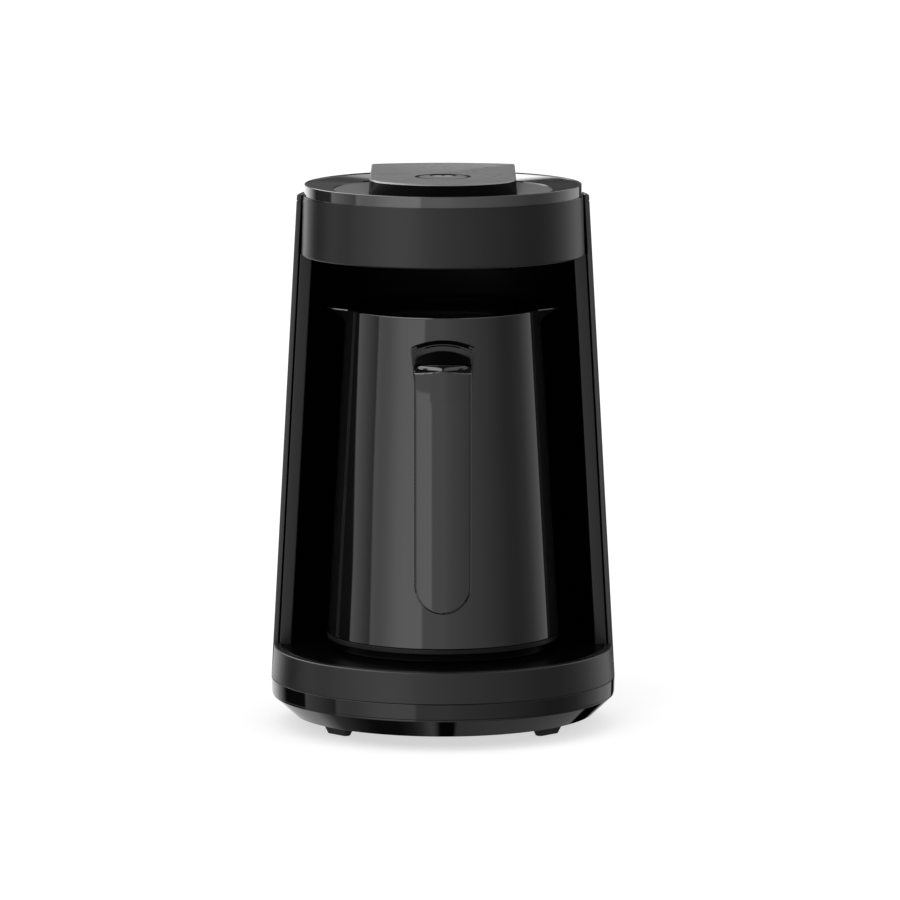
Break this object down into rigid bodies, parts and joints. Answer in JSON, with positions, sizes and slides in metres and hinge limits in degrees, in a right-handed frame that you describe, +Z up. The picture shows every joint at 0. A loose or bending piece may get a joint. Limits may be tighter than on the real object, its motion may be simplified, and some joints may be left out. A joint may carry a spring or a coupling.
{
  "type": "electric turkish coffee maker",
  "caption": "Round coffee maker: a base and head joined by a half-round housing round an open bay, a tall jug with a front handle and pouring lips, and a push button on top.",
  "frame": {"origin": "middle of the base, on the plane of the feet", "axes": "+Z up, the open front and the jug's handle face -Y, +X to the right seen from the front"},
  "size_m": [0.159, 0.159, 0.2559],
  "materials": {
    "foot_rubber": "matt moulded rubber",
    "skirt_black": "fine satin black",
    "gloss_black": "polished black",
    "satin_anthracite": "smooth satin anthracite",
    "deck_gloss": "polished black",
    "shell_anthracite": "fine satin anthracite",
    "liner_black": "fine satin black",
    "guard_black": "fine satin black",
    "top_dark": "satin dark grey",
    "top_light": "brushed satin grey",
    "pod_satin": "satin top, dark front",
    "window_red": "dark red filter",
    "board_green": "solder mask",
    "switch_black": "moulded black",
    "lamp_lens": "clear lens",
    "relay_blue": "moulded blue case",
    "coil_copper": "enamelled copper winding",
    "can_sleeve": "sleeved aluminium can",
    "terminal_green": "moulded green",
    "cable_grey": "flat grey cable",
    "wire_red": "insulated wire",
    "wire_white": "sleeved wire",
    "connector_black": "moulded black",
    "contact_brass": "bare brass",
    "bushing_rubber": "matt moulded rubber",
    "screw_steel": "zinc plated",
    "screw_black": "blackened steel",
    "button_satin": "satin anthracite",
    "icon_grey": "printed power mark on satin",
    "jug_anthracite": "smooth satin anthracite",
    "pot_steel": "dark coated steel",
    "seal_silicone": "silicone",
    "jug_black": "fine satin black",
    "spreader_aluminium": "cast plate",
    "element_steel": "sheathed tube",
    "cutout_ceramic": "glazed ceramic",
    "collar_satin": "satin dark grey",
    "handle_satin": "smooth satin anthracite",
    "handle_inner": "soft satin black"
  },
  "bodies": {
    "housing": {"feet": "foot_rubber", "base_skirt": "skirt_black", "base_trim_ring": "gloss_black", "base_band": "satin_anthracite", "base_deck": "deck_gloss", "rear_shell": "shell_anthracite", "cavity_liner": "liner_black", "steam_guard": "guard_black", "head_floor": "liner_black", "head_band": "satin_anthracite", "head_trim_ring": "gloss_black", "top_plate": "top_dark", "top_disc": "top_light", "control_pod": "pod_satin", "sensor_window": "window_red", "sensor_board": "board_green", "control_board": "board_green", "tact_switch": "switch_black", "indicator_leds": "lamp_lens", "buzzer": "switch_black", "power_board": "board_green", "power_relay": "relay_blue", "supply_coil": "coil_copper", "filter_capacitors": "can_sleeve", "terminal_block": "terminal_green", "signal_cable": "cable_grey", "base_wires": "wire_red", "connector_tongue": "connector_black", "connector_blades": "contact_brass", "cord_bushing": "bushing_rubber", "cord_clamp": "connector_black", "base_screws": "screw_steel", "clamp_screws": "screw_steel", "board_screws": "screw_steel", "head_screws": "screw_black", "pod_screws": "screw_steel", "sensor_screws": "screw_steel"},
    "button": {"button_cap": "button_satin", "button_icon": "icon_grey", "switch_plunger": "switch_black"},
    "jug": {"jug_shell": "jug_anthracite", "jug_pot": "pot_steel", "pot_seal": "seal_silicone", "jug_base": "jug_black", "heat_spreader": "spreader_aluminium", "heating_element": "element_steel", "thermal_cutout": "cutout_ceramic", "jug_socket": "connector_black", "jug_contacts": "contact_brass", "jug_wires": "wire_white", "jug_screws": "screw_steel", "handle_collar": "collar_satin", "handle_grip": "handle_satin", "handle_cover": "handle_inner", "handle_screws": "screw_steel"}
  },
  "joints": [
    {"name": "button_press", "type": "slide", "parent": "housing", "child": "button", "axis": [0, 0, -1], "range_m": [0, 0.0008], "stiffness_N_per_m": 600, "springref_m": -0.0005},
    {"name": "jug_pull", "type": "slide", "parent": "housing", "child": "jug", "axis": [0, -1, 0], "range_m": [0, 0.16]}
  ]
}
